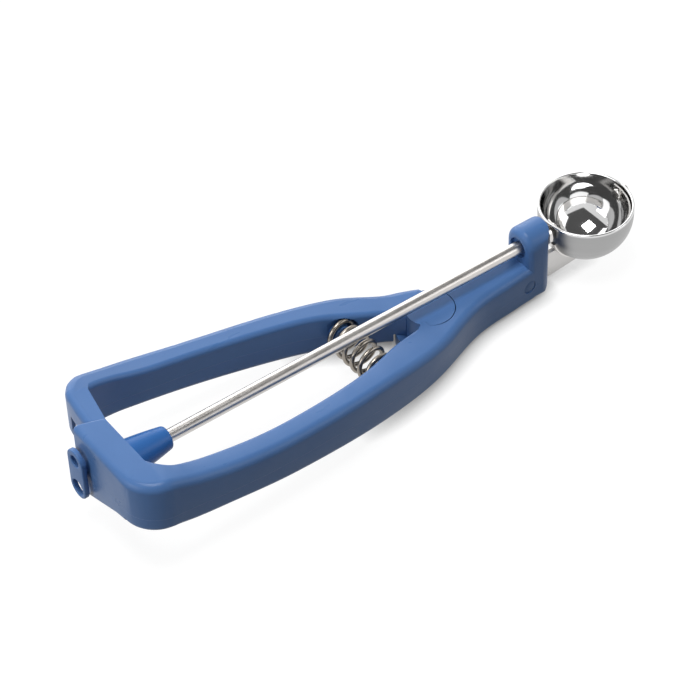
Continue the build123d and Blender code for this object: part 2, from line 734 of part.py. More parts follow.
# ---------------------------------------------------------------- drive rod and collar
with BuildPart() as drive_rod:
    with BuildSketch(axis_plane.offset(rod_rear_x)):
        with Locations((0, rod_z)):
            Circle(rod_radius)
    extrude(amount=rod_front_x - rod_rear_x)
    chamfer(drive_rod.edges().filter_by(GeomType.CIRCLE), rod_chamfer)
    with BuildSketch(Plane.XZ):
        with Locations((pinion_pin_x, rod_z)):
            Circle(pinion_pin_radius + fit_gap)
    extrude(amount=2 * rod_radius, both=True, mode=Mode.SUBTRACT)
    with BuildSketch(axis_plane.offset(rod_front_x)):
        with Locations((0, rod_z)):
            Circle(rivet_radius + fit_gap)
    extrude(amount=-(rivet_bury + fit_gap), mode=Mode.SUBTRACT)

drive_rod.part.label = "drive_rod"
export_step(drive_rod.part, "parts/drive_rod.step")

with BuildPart() as thrust_collar:
    with BuildSketch(axis_plane.offset(collar_x)):
        with Locations((0, rod_z)):
            Circle(collar_radius)
            Circle(rod_radius + fit_gap, mode=Mode.SUBTRACT)
    extrude(amount=collar_length)
    rims = thrust_collar.edges().filter_by(GeomType.CIRCLE).sort_by(SortBy.RADIUS)
    chamfer(rims[-2:], rod_chamfer)

thrust_collar.part.label = "thrust_collar"
export_step(thrust_collar.part, "parts/thrust_collar.step")

# ---------------------------------------------------------------- bearing sleeve
with BuildPart() as bearing_sleeve:
    with BuildSketch(Plane.XZ) as sleeve_half:
        with BuildLine():
            Polyline(
                (housing_front_x - sleeve_spigot, rod_z + rod_radius + running_clearance),
                (housing_front_x - sleeve_spigot, rod_z + pinion_bore - fit_gap),
                (housing_front_x, rod_z + pinion_bore - fit_gap),
                (housing_front_x, rod_z + sleeve_root_radius),
            )
            Spline(
                (housing_front_x, rod_z + sleeve_root_radius),
                (housing_front_x + sleeve_length * sleeve_waist, rod_z + sleeve_mid_radius),
                (housing_front_x + sleeve_length, rod_z + sleeve_tip_radius),
            )
            Polyline(
                (housing_front_x + sleeve_length, rod_z + sleeve_tip_radius),
                (housing_front_x + sleeve_length, rod_z + rod_radius + running_clearance),
                (housing_front_x - sleeve_spigot, rod_z + rod_radius + running_clearance),
            )
        make_face()
    revolve(axis=Axis((0, 0, rod_z), (1, 0, 0)))
    tip_rim = bearing_sleeve.edges().filter_by(GeomType.CIRCLE).group_by(Axis.X)[-1]
    fillet(tip_rim.sort_by(SortBy.RADIUS)[-1:], sleeve_tip_edge)

bearing_sleeve.part.label = "bearing_sleeve"
export_step(bearing_sleeve.part, "parts/bearing_sleeve.step")

# ---------------------------------------------------------------- hanging tab
with BuildPart() as hanging_tab:
    with BuildSketch(axis_plane.offset(rear_x)) as tab_outline:
        with Locations((tab_side, above_axis((tab_low + tab_high) / 2))):
            SlotOverall(tab_high - tab_low, tab_width, rotation=90)
        with Locations((tab_side, above_axis(tab_hole_height))):
            Circle(tab_hole_radius, mode=Mode.SUBTRACT)
        with Locations((tab_side, above_axis(tab_hole_height + tab_hole_spacing))):
            Circle(tab_small_hole_radius, mode=Mode.SUBTRACT)
        for side in (-1, 1):
            with Locations((tab_side + side * (tab_neck / 2 + tab_notch), above_axis(tab_neck_height))):
                Circle(tab_notch, mode=Mode.SUBTRACT)
    extrude(amount=tab_thickness)
    fillet(hanging_tab.faces().sort_by(Axis.X)[0].edges(), tab_edge)
    with BuildSketch(axis_plane.offset(rear_x + tab_thickness)):
        with Locations((tab_side, above_axis(tab_peg_height))):
            Circle(tab_boss_radius)
    extrude(amount=tab_gap)
    with BuildSketch(axis_plane.offset(housing_rear_x)):
        with Locations((tab_side, above_axis(tab_peg_height))):
            Circle(tab_peg_radius)
    extrude(amount=tab_peg_depth)

hanging_tab.part.label = "hanging_tab"
export_step(hanging_tab.part, "parts/hanging_tab.step")

# ---------------------------------------------------------------- pivot pin and washer
with BuildPart() as pivot_pin:
    with Locations((pivot_x, 0, above_axis(knuckle_floor + pivot_pin_depth))):
        Cylinder(
            pivot_pin_radius, knuckle_floor + pivot_pin_depth - pivot_head_top,
            align=(Align.CENTER, Align.CENTER, Align.MAX),
        )
    with Locations((pivot_x, 0, above_axis(pivot_head_top))):
        Cylinder(
            pivot_head_radius, pivot_head_height,
            align=(Align.CENTER, Align.CENTER, Align.MAX),
        )
    pivot_rims = pivot_pin.edges().filter_by(GeomType.CIRCLE)
    chamfer(pivot_rims.group_by(Axis.Z)[0] + pivot_rims.group_by(Axis.Z)[-1], pin_chamfer)

pivot_pin.part.label = "pivot_pin"
export_step(pivot_pin.part, "parts/pivot_pin.step")

with BuildPart() as pivot_washer:
    with Locations((pivot_x, 0, above_axis(pivot_head_top))):
        Cylinder(
            pivot_washer_radius, pivot_washer_thickness,
            align=(Align.CENTER, Align.CENTER, Align.MIN),
        )
        Cylinder(
            pivot_pin_radius + fit_gap, 3 * pivot_washer_thickness, mode=Mode.SUBTRACT,
        )

pivot_washer.part.label = "pivot_washer"
export_step(pivot_washer.part, "parts/pivot_washer.step")

# ---------------------------------------------------------------- return spring
spring_length = 2 * spring_seat - body_clearance - fit_gap
with BuildPart() as return_spring:
    with BuildLine() as spring_path:
        Helix(
            pitch=(spring_length - 2 * spring_wire_radius) / spring_turns,
            height=spring_length - 2 * spring_wire_radius,
            radius=spring_radius,
            center=(
                spring_x, fit_gap + spring_wire_radius - spring_seat, above_axis(spring_height),
            ),
            direction=(0, 1, 0),
        )
    with BuildSketch(Plane(origin=spring_path.line @ 0, z_dir=spring_path.line % 0)):
        Circle(spring_wire_radius)
    sweep(is_frenet=True)

return_spring.part.label = "return_spring"
export_step(return_spring.part, "parts/return_spring.step")

# ---------------------------------------------------------------- shank, pin and saddle
with BuildPart() as shank_plate:
    with BuildSketch(Plane.XZ.offset(-shank_thickness / 2)) as shank_outline:
        Polygon(
            (shank_rear_x, above_axis(shank_low)),
            (head_front_x + shank_heel, above_axis(shank_low)),
            (bowl_x - shank_toe_back, above_axis(shank_toe)),
            (bowl_x - shank_toe_back, above_axis(shank_top)),
            (shank_rear_x, above_axis(shank_top)),
            align=None,
        )
        fillet(shank_outline.vertices().group_by(Axis.X)[0], shank_corner)
        with Locations((bowl_x, rod_z)):
            Circle(bowl_radius + saddle_thickness, mode=Mode.SUBTRACT)
        with Locations((shank_pin_x, above_axis(shank_pin_height))):
            Circle(shank_pin_radius + fit_gap, mode=Mode.SUBTRACT)
    extrude(amount=shank_thickness)

shank_plate.part.label = "shank_plate"
export_step(shank_plate.part, "parts/shank_plate.step")

with BuildPart() as shank_pin:
    with BuildSketch(Plane.XZ):
        with Locations((shank_pin_x, above_axis(shank_pin_height))):
            Circle(shank_pin_radius)
    extrude(amount=pin_ring_y, both=True)
    chamfer(shank_pin.edges().filter_by(GeomType.CIRCLE), pin_chamfer)

shank_pin.part.label = "shank_pin"
export_step(shank_pin.part, "parts/shank_pin.step")

with BuildPart() as bowl_saddle:
    with Locations((bowl_x, 0, rod_z)):
        Sphere(bowl_radius + saddle_thickness)
        Sphere(bowl_radius, mode=Mode.SUBTRACT)
    with BuildSketch(Plane.XZ.offset(-saddle_width / 2)):
        with Locations((bowl_x, rod_z)):
            Polygon(
                (0, 0),
                *[
                    (2 * bowl_radius * cos(radians(a)), 2 * bowl_radius * sin(radians(a)))
                    for a in (saddle_start, (saddle_start + saddle_end) / 2, saddle_end)
                ],
                align=None,
            )
    extrude(amount=saddle_width, mode=Mode.INTERSECT)

bowl_saddle.part.label = "bowl_saddle"
export_step(bowl_saddle.part, "parts/bowl_saddle.step")

# ---------------------------------------------------------------- bowl
bowl_inner = bowl_radius - bowl_wall
with BuildPart() as bowl:
    with BuildSketch(Plane.XZ):
        with BuildLine():
            Line((bowl_x, rod_z - bowl_radius), (bowl_x, rod_z - bowl_inner))
            CenterArc((bowl_x, rod_z), bowl_inner, 270.0, 90.0)
            Line((bowl_x + bowl_inner, rod_z), (bowl_x + bowl_inner, above_axis(bowl_rim)))
            Line(
                (bowl_x + bowl_inner, above_axis(bowl_rim)),
                (bowl_x + bowl_radius, above_axis(bowl_rim)),
            )
            Line((bowl_x + bowl_radius, above_axis(bowl_rim)), (bowl_x + bowl_radius, rod_z))
            CenterArc((bowl_x, rod_z), bowl_radius, 270.0, 90.0)
        make_face()
    revolve(axis=Axis((bowl_x, 0, 0), (0, 0, 1)))
    fillet(bowl.edges().group_by(Axis.Z)[-1], bowl_rim_roll)
    with BuildSketch(Plane.YZ.offset(bowl_x)):
        with Locations((0, rod_z)):
            Circle(rivet_radius + running_clearance)
    extrude(amount=2 * bowl_radius, both=True, mode=Mode.SUBTRACT)

bowl.part.label = "bowl"
export_step(bowl.part, "parts/bowl.step")

# ---------------------------------------------------------------- scraper and its rivets
with BuildPart() as scraper_blade:
    with Locations(Location((bowl_x, 0, rod_z), (scraper_rest, 0, 0))):
        Sphere(scraper_outer)
        Sphere(scraper_inner, mode=Mode.SUBTRACT)
        with Locations((0, scraper_lug, 0)):
            Box(
                4 * bowl_radius, 2 * bowl_radius, scraper_width,
                align=(Align.CENTER, Align.MAX, Align.CENTER), mode=Mode.INTERSECT,
            )
    with BuildSketch(Plane.YZ.offset(bowl_x)):
        with Locations((0, rod_z)):
            Circle(rivet_radius + running_clearance)
    extrude(amount=2 * bowl_radius, both=True, mode=Mode.SUBTRACT)

scraper_blade.part.label = "scraper_blade"
export_step(scraper_blade.part, "parts/scraper_blade.step")

with BuildPart() as drive_rivet:
    with BuildSketch(axis_plane.offset(rod_front_x - rivet_bury)):
        with Locations((0, rod_z)):
            Circle(rivet_radius)
    extrude(amount=rivet_bury + lug_face_x - rod_front_x)
    with BuildSketch(axis_plane.offset(lug_face_x)):
        with Locations((0, rod_z)):
            Circle(rivet_head_radius)
    extrude(amount=rivet_head_height)
    fillet(drive_rivet.edges().group_by(Axis.X)[-1], rivet_dome)

drive_rivet.part.label = "drive_rivet"
export_step(drive_rivet.part, "parts/drive_rivet.step")

far_face_x = 2 * bowl_x - lug_face_x - body_clearance
with BuildPart() as far_rivet:
    with BuildSketch(axis_plane.offset(far_face_x - rivet_head_height)):
        with Locations((0, rod_z)):
            Circle(rivet_head_radius)
    extrude(amount=rivet_head_height)
    with BuildSketch(axis_plane.offset(far_face_x)):
        with Locations((0, rod_z)):
            Circle(rivet_radius)
    extrude(amount=bowl_x + bowl_radius - far_face_x)
    with BuildSketch(axis_plane.offset(bowl_x + bowl_radius)):
        with Locations((0, rod_z)):
            Circle(far_rivet_radius)
    extrude(amount=far_rivet_height)
    fillet(far_rivet.edges().group_by(Axis.X)[0], rivet_dome)
    fillet(far_rivet.edges().group_by(Axis.X)[-1], rivet_dome)

far_rivet.part.label = "far_rivet"
export_step(far_rivet.part, "parts/far_rivet.step")
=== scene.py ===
import math
import bmesh
import bpy
from mathutils import Matrix, Vector


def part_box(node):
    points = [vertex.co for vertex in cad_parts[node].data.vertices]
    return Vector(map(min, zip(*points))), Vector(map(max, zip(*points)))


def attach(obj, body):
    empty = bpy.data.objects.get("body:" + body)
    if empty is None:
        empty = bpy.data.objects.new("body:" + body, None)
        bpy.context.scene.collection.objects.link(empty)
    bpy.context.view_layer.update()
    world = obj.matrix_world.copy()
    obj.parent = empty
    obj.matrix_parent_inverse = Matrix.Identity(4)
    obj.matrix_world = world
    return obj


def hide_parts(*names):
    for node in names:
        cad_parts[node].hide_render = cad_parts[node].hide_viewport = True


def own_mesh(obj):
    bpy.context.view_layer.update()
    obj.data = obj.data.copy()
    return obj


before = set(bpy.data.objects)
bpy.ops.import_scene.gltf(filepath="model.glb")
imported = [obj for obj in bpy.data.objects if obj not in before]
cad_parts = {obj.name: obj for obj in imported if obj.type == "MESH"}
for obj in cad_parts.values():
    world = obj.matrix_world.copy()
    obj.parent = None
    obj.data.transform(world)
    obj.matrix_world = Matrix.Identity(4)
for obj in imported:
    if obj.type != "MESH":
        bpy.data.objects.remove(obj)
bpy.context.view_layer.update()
print("frame loaded,", len(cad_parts), "pieces")

# lengths on the tool are in millimetres, and those of the camera and the stage in metres
mm = 0.001
mergeDistance = 0.002 * mm  # points of a piece that lie closer than this become one
smoothTurn = math.radians(32)  # edges that turn more than this stay crisp
upAxis = (0, 0, 1)
scene = bpy.context.scene


def boxOf(node):
    low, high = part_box(node)
    return low, high, (low + high) / 2


cameraSettings = {
    "place": (-0.3781, -0.5295, 0.6677),
    "azimuth": -35.005,
    "elevation": 45.234,
    "roll": -2.005,
    "lens": 144.0,  # lens and sensor in millimetres, as on a real camera
    "sensor": 36.0,
    "clipStart": 0.01,
}


def addCamera(settings):
    azimuth = math.radians(settings["azimuth"])
    elevation = math.radians(settings["elevation"])
    back = Vector((
        math.sin(azimuth) * math.cos(elevation),
        -math.cos(azimuth) * math.cos(elevation),
        math.sin(elevation),
    ))
    right = Vector(upAxis).cross(back).normalized()
    up = back.cross(right)
    turn = Matrix((right, up, back)).transposed().to_4x4()
    lens = bpy.data.cameras.new("camera")
    lens.lens = settings["lens"]
    lens.sensor_width = settings["sensor"]
    lens.clip_start = settings["clipStart"]
    camera = bpy.data.objects.new("camera", lens)
    roll = Matrix.Rotation(math.radians(settings["roll"]), 4, "Z")
    camera.matrix_world = Matrix.Translation(settings["place"]) @ turn @ roll
    scene.collection.objects.link(camera)
    scene.camera = camera


addCamera(cameraSettings)
scene.view_settings.view_transform = "Standard"
print("camera placed")


# every finish reads object coordinates, so its grain keeps its place on the piece
def startFinish(name):
    material = bpy.data.materials.new(name)
    material.use_nodes = True
    nodes = material.node_tree.nodes
    shader = next(node for node in nodes if node.type == "BSDF_PRINCIPLED")
    coordinates = nodes.new("ShaderNodeTexCoord")
    return material, nodes, material.node_tree.links, shader, coordinates.outputs["Object"]


def addNoise(nodes, links, vector, scale, detail=3.0, stretch=None):
    if stretch:
        mapping = nodes.new("ShaderNodeMapping")
        mapping.inputs["Scale"].default_value = stretch
        links.new(vector, mapping.inputs["Vector"])
        vector = mapping.outputs["Vector"]
    noise = nodes.new("ShaderNodeTexNoise")
    noise.inputs["Scale"].default_value = scale
    noise.inputs["Detail"].default_value = detail
    links.new(vector, noise.inputs["Vector"])
    return noise.outputs["Fac"]


def mapRange(nodes, links, value, fromMin, fromMax, toMin, toMax):
    node = nodes.new("ShaderNodeMapRange")
    node.inputs["From Min"].default_value = fromMin
    node.inputs["From Max"].default_value = fromMax
    node.inputs["To Min"].default_value = toMin
    node.inputs["To Max"].default_value = toMax
    links.new(value, node.inputs["Value"])
    return node.outputs["Result"]


def mathNode(nodes, links, operation, first, second=None):
    node = nodes.new("ShaderNodeMath")
    node.operation = operation
    for socket, value in zip(node.inputs, (first, second)):
        if isinstance(value, (int, float)):
            socket.default_value = value
        elif value is not None:
            links.new(value, socket)
    return node.outputs[0]


# the Mix node's first, second and result sockets for each kind of data
mixSockets = {"FLOAT": (2, 3, 0), "RGBA": (6, 7, 2)}


def mixNode(nodes, links, kind, factor, first, second):
    node = nodes.new("ShaderNodeMix")
    node.data_type = kind
    links.new(factor, node.inputs["Factor"])
    firstSocket, secondSocket, resultSocket = mixSockets[kind]
    for socket, value in ((firstSocket, first), (secondSocket, second)):
        if isinstance(value, tuple):
            node.inputs[socket].default_value = (*value, 1.0)
        else:
            links.new(value, node.inputs[socket])
    return node.outputs[resultSocket]


def addBump(nodes, links, height, distance, under=None):
    bump = nodes.new("ShaderNodeBump")
    bump.inputs["Distance"].default_value = distance
    links.new(height, bump.inputs["Height"])
    if under:
        links.new(under, bump.inputs["Normal"])
    return bump.outputs["Normal"]


noiseBand = (0.3, 0.7)  # most of a noise lies between these values

# the seam that the two halves of a mould leave along the arms; its ridge is real, its paler colour
# a painted highlight
mouldSeam = {
    "points": (  # place along the tool, height
        (-108.0, 24.2), (-93.0, 23.6), (-77.4, 21.2), (-57.4, 18.3), (-37.4, 16.0),
        (-27.4, 14.7), (-8.0, 11.6), (12.0, 8.6), (30.0, 7.0), (64.0, 6.4),
    ),
    "halfWidth": 0.11,
    "depth": 0.05,
    "seamHighlight": 0.35,  # how far the seam takes the paler colour, a painted highlight along its ridge
}


def addMouldSeam(nodes, links, vector, settings):  # one on the seam, zero away from it
    split = nodes.new("ShaderNodeSeparateXYZ")
    links.new(vector, split.inputs[0])
    points = settings["points"]
    start, end = points[0][0], points[-1][0]
    heights = [height for place, height in points]
    low, high = min(heights), max(heights)
    along = mapRange(nodes, links, split.outputs["X"], start * mm, end * mm, 0.0, 1.0)
    ramp = nodes.new("ShaderNodeValToRGB")
    ramp.color_ramp.interpolation = "B_SPLINE"
    stops = ramp.color_ramp.elements
    while len(stops) < len(points):
        stops.new(0.5)  # each stop gets its own place below
    for stop, (place, height) in zip(stops, points):
        stop.position = (place - start) / (end - start)
        shade = (height - low) / (high - low)
        stop.color = (shade, shade, shade, 1.0)
    links.new(along, ramp.inputs["Fac"])
    level = mapRange(nodes, links, ramp.outputs["Color"], 0.0, 1.0, low * mm, high * mm)
    offset = mathNode(nodes, links, "SUBTRACT", split.outputs["Z"], level)
    distance = mathNode(nodes, links, "ABSOLUTE", offset)
    return mapRange(nodes, links, distance, 0.0, settings["halfWidth"] * mm, 1.0, 0.0)


blueSettings = {
    "deep": (0.066, 0.154, 0.362), "pale": (0.082, 0.182, 0.408), "dust": (0.20, 0.31, 0.55),
    "cloudScale": 60.0, "grainScale": 5200.0, "flowScale": 160.0, "flowStretch": (0.25, 1.0, 1.0),
    "speckle": 0.10, "speckleBand": (0.62, 0.78), "grainDepth": 0.010, "flowDepth": 0.018,
    "roughness": (0.27, 0.34), "gloss": 0.19, "seam": mouldSeam,
}
sleeveSettings = dict(
    blueSettings, deep=(0.030, 0.132, 0.395), pale=(0.042, 0.160, 0.450),
    roughness=(0.30, 0.38), seam=None,
)
tabPlasticSettings = dict(blueSettings, roughness=(0.36, 0.45), seam=None)


def mouldedPlastic(name, settings):
    material, nodes, links, shader, vector = startFinish(name)
    cloud = addNoise(nodes, links, vector, settings["cloudScale"])
    grain = addNoise(nodes, links, vector, settings["grainScale"], detail=2.0)
    flow = addNoise(
        nodes, links, vector, settings["flowScale"], stretch=settings["flowStretch"],
    )
    colour = mixNode(nodes, links, "RGBA", cloud, settings["deep"], settings["pale"])
    speckle = mapRange(nodes, links, grain, *settings["speckleBand"], 0.0, settings["speckle"])
    colour = mixNode(nodes, links, "RGBA", speckle, colour, settings["dust"])
    normal = addBump(nodes, links, grain, settings["grainDepth"] * mm)
    normal = addBump(nodes, links, flow, settings["flowDepth"] * mm, under=normal)
    seamSettings = settings["seam"]
    if seamSettings:
        seam = addMouldSeam(nodes, links, vector, seamSettings)
        normal = addBump(nodes, links, seam, seamSettings["depth"] * mm, under=normal)
        # painted highlight: the seam takes a paler colour along its ridge
        seamHighlight = mapRange(nodes, links, seam, 0.0, 1.0, 0.0, seamSettings["seamHighlight"])
        colour = mixNode(nodes, links, "RGBA", seamHighlight, colour, settings["pale"])
    links.new(colour, shader.inputs["Base Color"])
    links.new(normal, shader.inputs["Normal"])
    rough = mapRange(nodes, links, flow, *noiseBand, *settings["roughness"])
    links.new(rough, shader.inputs["Roughness"])
    shader.inputs["Specular IOR Level"].default_value = settings["gloss"]
    return material


steelSettings = {
    "dark": (0.62, 0.60, 0.58), "light": (0.74, 0.73, 0.71), "stainScale": 140.0,
    "scratchScale": 900.0, "grainDirection": (0.06, 1.0, 1.0), "scratchDepth": 0.0012,
    "scratchBand": (0.55, 0.75), "scratchRoughness": 0.05, "roughness": (0.10, 0.16),
}


def steel(name, **changes):  # the plain steel, with what this piece changes in it
    settings = dict(steelSettings, **changes)
    material, nodes, links, shader, vector = startFinish(name)
    scratches = addNoise(
        nodes, links, vector, settings["scratchScale"], stretch=settings["grainDirection"],
    )
    stain = addNoise(nodes, links, vector, settings["stainScale"])
    colour = mixNode(nodes, links, "RGBA", stain, settings["dark"], settings["light"])
    links.new(colour, shader.inputs["Base Color"])
    rough = mapRange(nodes, links, stain, *noiseBand, *settings["roughness"])
    extra = mapRange(
        nodes, links, scratches, *settings["scratchBand"], 0.0, settings["scratchRoughness"],
    )
    links.new(mathNode(nodes, links, "ADD", rough, extra), shader.inputs["Roughness"])
    normal = addBump(nodes, links, scratches, settings["scratchDepth"] * mm)
    links.new(normal, shader.inputs["Normal"])
    shader.inputs["Metallic"].default_value = 1.0
    return material


bowlWall = 0.9
bowlSteelSettings = {
    "rim": 0.7, "rimFade": 0.3, "dark": (0.60, 0.60, 0.60), "light": (0.72, 0.72, 0.72),
    # the outside's colour is darker than the polished steel: painted shade
    "satinAndShade": (0.37, 0.37, 0.37), "stainScale": 120.0, "ringScale": 2600.0,
    "ringStretch": (0.02, 0.02, 1.0), "ringDepth": 0.003,
    "roughness": (0.05, 0.09), "satinRoughness": (0.30, 0.40),
}


# polished inside and at the rim, and a satin outside, brushed in rings round the upright axis; the
# outside's darker colour is painted shade
def turnedSteel(name, settings):
    low, high, middle = boxOf("bowl")
    radius = (high.x - low.x) / 2
    material, nodes, links, shader, vector = startFinish(name)
    split = nodes.new("ShaderNodeSeparateXYZ")
    links.new(vector, split.inputs[0])
    reach = nodes.new("ShaderNodeVectorMath")
    reach.operation = "DISTANCE"
    reach.inputs[1].default_value = (middle.x, middle.y, low.z + radius)
    links.new(vector, reach.inputs[0])
    inner = radius - bowlWall * mm
    outside = mapRange(nodes, links, reach.outputs["Value"], inner, radius, 0.0, 1.0)
    rimEnd = high.z - settings["rim"] * mm
    fadeEnd = rimEnd - settings["rimFade"] * mm
    below = mapRange(nodes, links, split.outputs["Z"], rimEnd, fadeEnd, 0.0, 1.0)
    satinAndShade = mathNode(nodes, links, "MULTIPLY", outside, below)
    rings = addNoise(
        nodes, links, vector, settings["ringScale"], detail=2.0, stretch=settings["ringStretch"],
    )
    stain = addNoise(nodes, links, vector, settings["stainScale"])
    bright = mixNode(nodes, links, "RGBA", stain, settings["dark"], settings["light"])
    # painted shade: the outside takes a darker colour than the polished steel; its roughness and
    # rings are the real satin finish
    colour = mixNode(nodes, links, "RGBA", satinAndShade, bright, settings["satinAndShade"])
    links.new(colour, shader.inputs["Base Color"])
    polished = mapRange(nodes, links, stain, *noiseBand, *settings["roughness"])
    brushed = mapRange(nodes, links, rings, *noiseBand, *settings["satinRoughness"])
    rough = mixNode(nodes, links, "FLOAT", satinAndShade, polished, brushed)
    links.new(rough, shader.inputs["Roughness"])
    height = mathNode(nodes, links, "MULTIPLY", rings, satinAndShade)
    normal = addBump(nodes, links, height, settings["ringDepth"] * mm)
    links.new(normal, shader.inputs["Normal"])
    shader.inputs["Metallic"].default_value = 1.0
    return material


evenGrain = (1.0, 1.0, 1.0)
materials = {
    "blue_plastic": mouldedPlastic("bluePlastic", blueSettings),
    "blue_plastic_lever": mouldedPlastic("bluePlasticLever", blueSettings),
    "sleeve_plastic": mouldedPlastic("sleevePlastic", sleeveSettings),
    "tab_plastic": mouldedPlastic("tabPlastic", tabPlasticSettings),
    "rod_steel": steel(
        "rodSteel", dark=(0.55, 0.525, 0.50), light=(0.64, 0.62, 0.60), roughness=(0.28, 0.34),
    ),
    "bowl_steel": turnedSteel("bowlSteel", bowlSteelSettings),
    "blade_steel": steel("bladeSteel", roughness=(0.14, 0.22)),
    "saddle_steel": steel(
        "saddleSteel", grainDirection=(1.0, 0.1, 1.0), roughness=(0.22, 0.32),
    ),
    "shank_steel": steel(
        "shankSteel", dark=(0.50, 0.49, 0.48), light=(0.62, 0.61, 0.60),
        roughness=(0.26, 0.36), scratchDepth=0.002,
    ),
    "spring_steel": steel(
        "springSteel", dark=(0.24, 0.215, 0.185), light=(0.38, 0.345, 0.30),
        grainDirection=evenGrain, roughness=(0.24, 0.34),
    ),
    "pin_steel": steel("pinSteel", roughness=(0.20, 0.30)),
    "rivet_steel": steel("rivetSteel", grainDirection=evenGrain, roughness=(0.10, 0.18)),
    "collar_steel": steel("collarSteel", roughness=(0.12, 0.20)),
    "washer_steel": steel("washerSteel", roughness=(0.22, 0.32)),
    "rack_steel": steel(
        "rackSteel", dark=(0.42, 0.41, 0.40), light=(0.55, 0.54, 0.52), roughness=(0.28, 0.40),
    ),
    "pinion_steel": steel("pinionSteel", roughness=(0.20, 0.32)),
}
print("materials made:", len(materials))

slotOfNode = {
    "handle_frame": "blue_plastic", "lever_arm": "blue_plastic_lever",
    "bearing_sleeve": "sleeve_plastic", "hanging_tab": "tab_plastic",
    "gear_rack": "rack_steel", "rack_pin_inner": "pin_steel", "rack_pin_outer": "pin_steel",
    "pinion": "pinion_steel", "pinion_pin": "pin_steel", "drive_rod": "rod_steel",
    "thrust_collar": "collar_steel", "pivot_pin": "pin_steel", "pivot_washer": "washer_steel",
    "return_spring": "spring_steel", "shank_plate": "shank_steel", "shank_pin": "pin_steel",
    "bowl_saddle": "saddle_steel", "bowl": "bowl_steel", "scraper_blade": "blade_steel",
    "drive_rivet": "rivet_steel", "far_rivet": "rivet_steel",
}
for nodeName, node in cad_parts.items():
    node.data.materials.clear()
    node.data.materials.append(materials[slotOfNode[nodeName]])
print("finishes given to the carried-over pieces")


def addPiece(bm, name, slot):  # all new pieces belong to the handle's body
    for edge in bm.edges:
        edge.smooth = len(edge.link_faces) == 2 and edge.calc_face_angle() < smoothTurn
    mesh = bpy.data.meshes.new(name)
    bm.to_mesh(mesh)
    bm.free()
    mesh.polygons.foreach_set("use_smooth", [True] * len(mesh.polygons))
    mesh.materials.append(materials[slot])
    piece = bpy.data.objects.new(name, mesh)
    scene.collection.objects.link(piece)
    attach(piece, "handle")
    return piece


def replaceNode(bm, name, node):  # a new piece that stands for a carried-over one
    piece = addPiece(bm, name, slotOfNode[node])
    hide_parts(node)
    return piece


bowlSettings = {
    "roll": 0.36, "rollSteps": 3,  # radius of the rim's two rounded edges
    "sideStart": 1.2, "sideEnd": 0.2,  # upright side: above the half ball, under the rounded edges
    "arcSteps": 26, "turnSteps": 112,
}


def quarterArc(radius, axisZ, steps):  # from the bowl's lowest point out to its side
    angles = [math.pi / 2 * number / steps for number in range(steps + 1)]
    return [(math.sin(angle) * radius, axisZ - math.cos(angle) * radius) for angle in angles]


def makeBowl(settings):
    low, high, middle = boxOf("bowl")
    outer = (high.x - low.x) / 2
    inner = outer - bowlWall * mm
    axisZ = low.z + outer
    roll = settings["roll"] * mm
    rollZ = high.z - roll
    quarter = math.pi / 2
    rim = []
    for centre, start in ((outer - roll, 0), (inner + roll, quarter)):
        for number in range(settings["rollSteps"] + 1):
            angle = start + quarter * number / settings["rollSteps"]
            rim.append((centre + math.cos(angle) * roll, rollZ + math.sin(angle) * roll))
    sideHeights = [axisZ + settings["sideStart"] * mm, rollZ - settings["sideEnd"] * mm]
    outline = quarterArc(outer, axisZ, settings["arcSteps"])
    outline += [(outer, height) for height in sideHeights] + rim
    outline += [(inner, height) for height in reversed(sideHeights)]
    outline += reversed(quarterArc(inner, axisZ, settings["arcSteps"]))
    bm = bmesh.new()
    ring = [bm.verts.new((middle.x + across, middle.y, height)) for across, height in outline]
    for first, second in zip(ring, ring[1:]):
        bm.edges.new((first, second))
    bmesh.ops.spin(
        bm, geom=bm.verts[:] + bm.edges[:], cent=(middle.x, middle.y, 0), axis=upAxis,
        angle=2 * math.pi, steps=settings["turnSteps"], use_merge=True,
    )
    bmesh.ops.remove_doubles(bm, verts=bm.verts[:], dist=mergeDistance)
    bmesh.ops.recalc_face_normals(bm, faces=bm.faces[:])
    replaceNode(bm, "bowlShell", "bowl")


makeBowl(bowlSettings)
print("bowl made")

springSettings = {
    "wire": 0.86, "turns": 6, "turnSteps": 36, "wireSides": 14,
    "keep": 0.875,  # share of its length that is left when the lever is squeezed
}


def makeSpring(settings):
    low, high, middle = boxOf("return_spring")
    wire = settings["wire"] * mm
    radius = (high.x - low.x) / 2 - wire
    bm = bmesh.new()
    bmesh.ops.create_circle(bm, segments=settings["wireSides"], radius=wire)
    place = Matrix.Translation((middle.x + radius, low.y + wire, middle.z))
    bmesh.ops.transform(bm, matrix=place, verts=bm.verts[:])
    steps = settings["turns"] * settings["turnSteps"]
    rise = (high.y - low.y - 2 * wire) / steps
    bmesh.ops.spin(
        bm, geom=bm.verts[:] + bm.edges[:], cent=(middle.x, low.y, middle.z), axis=(0, 1, 0),
        dvec=(0, rise, 0), angle=2 * math.pi * settings["turns"], steps=steps,
    )
    bmesh.ops.holes_fill(bm, edges=bm.edges[:], sides=settings["wireSides"])
    bmesh.ops.recalc_face_normals(bm, faces=bm.faces[:])
    piece = replaceNode(bm, "returnSpring", "return_spring")
    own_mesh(piece)


makeSpring(springSettings)
print("spring made")

frameSettings = {
    "stepPlace": (-107.1, -18.6, 37.2), "reach": 3.4, "cuts": 2, "passes": 14, "strength": 0.5,
}


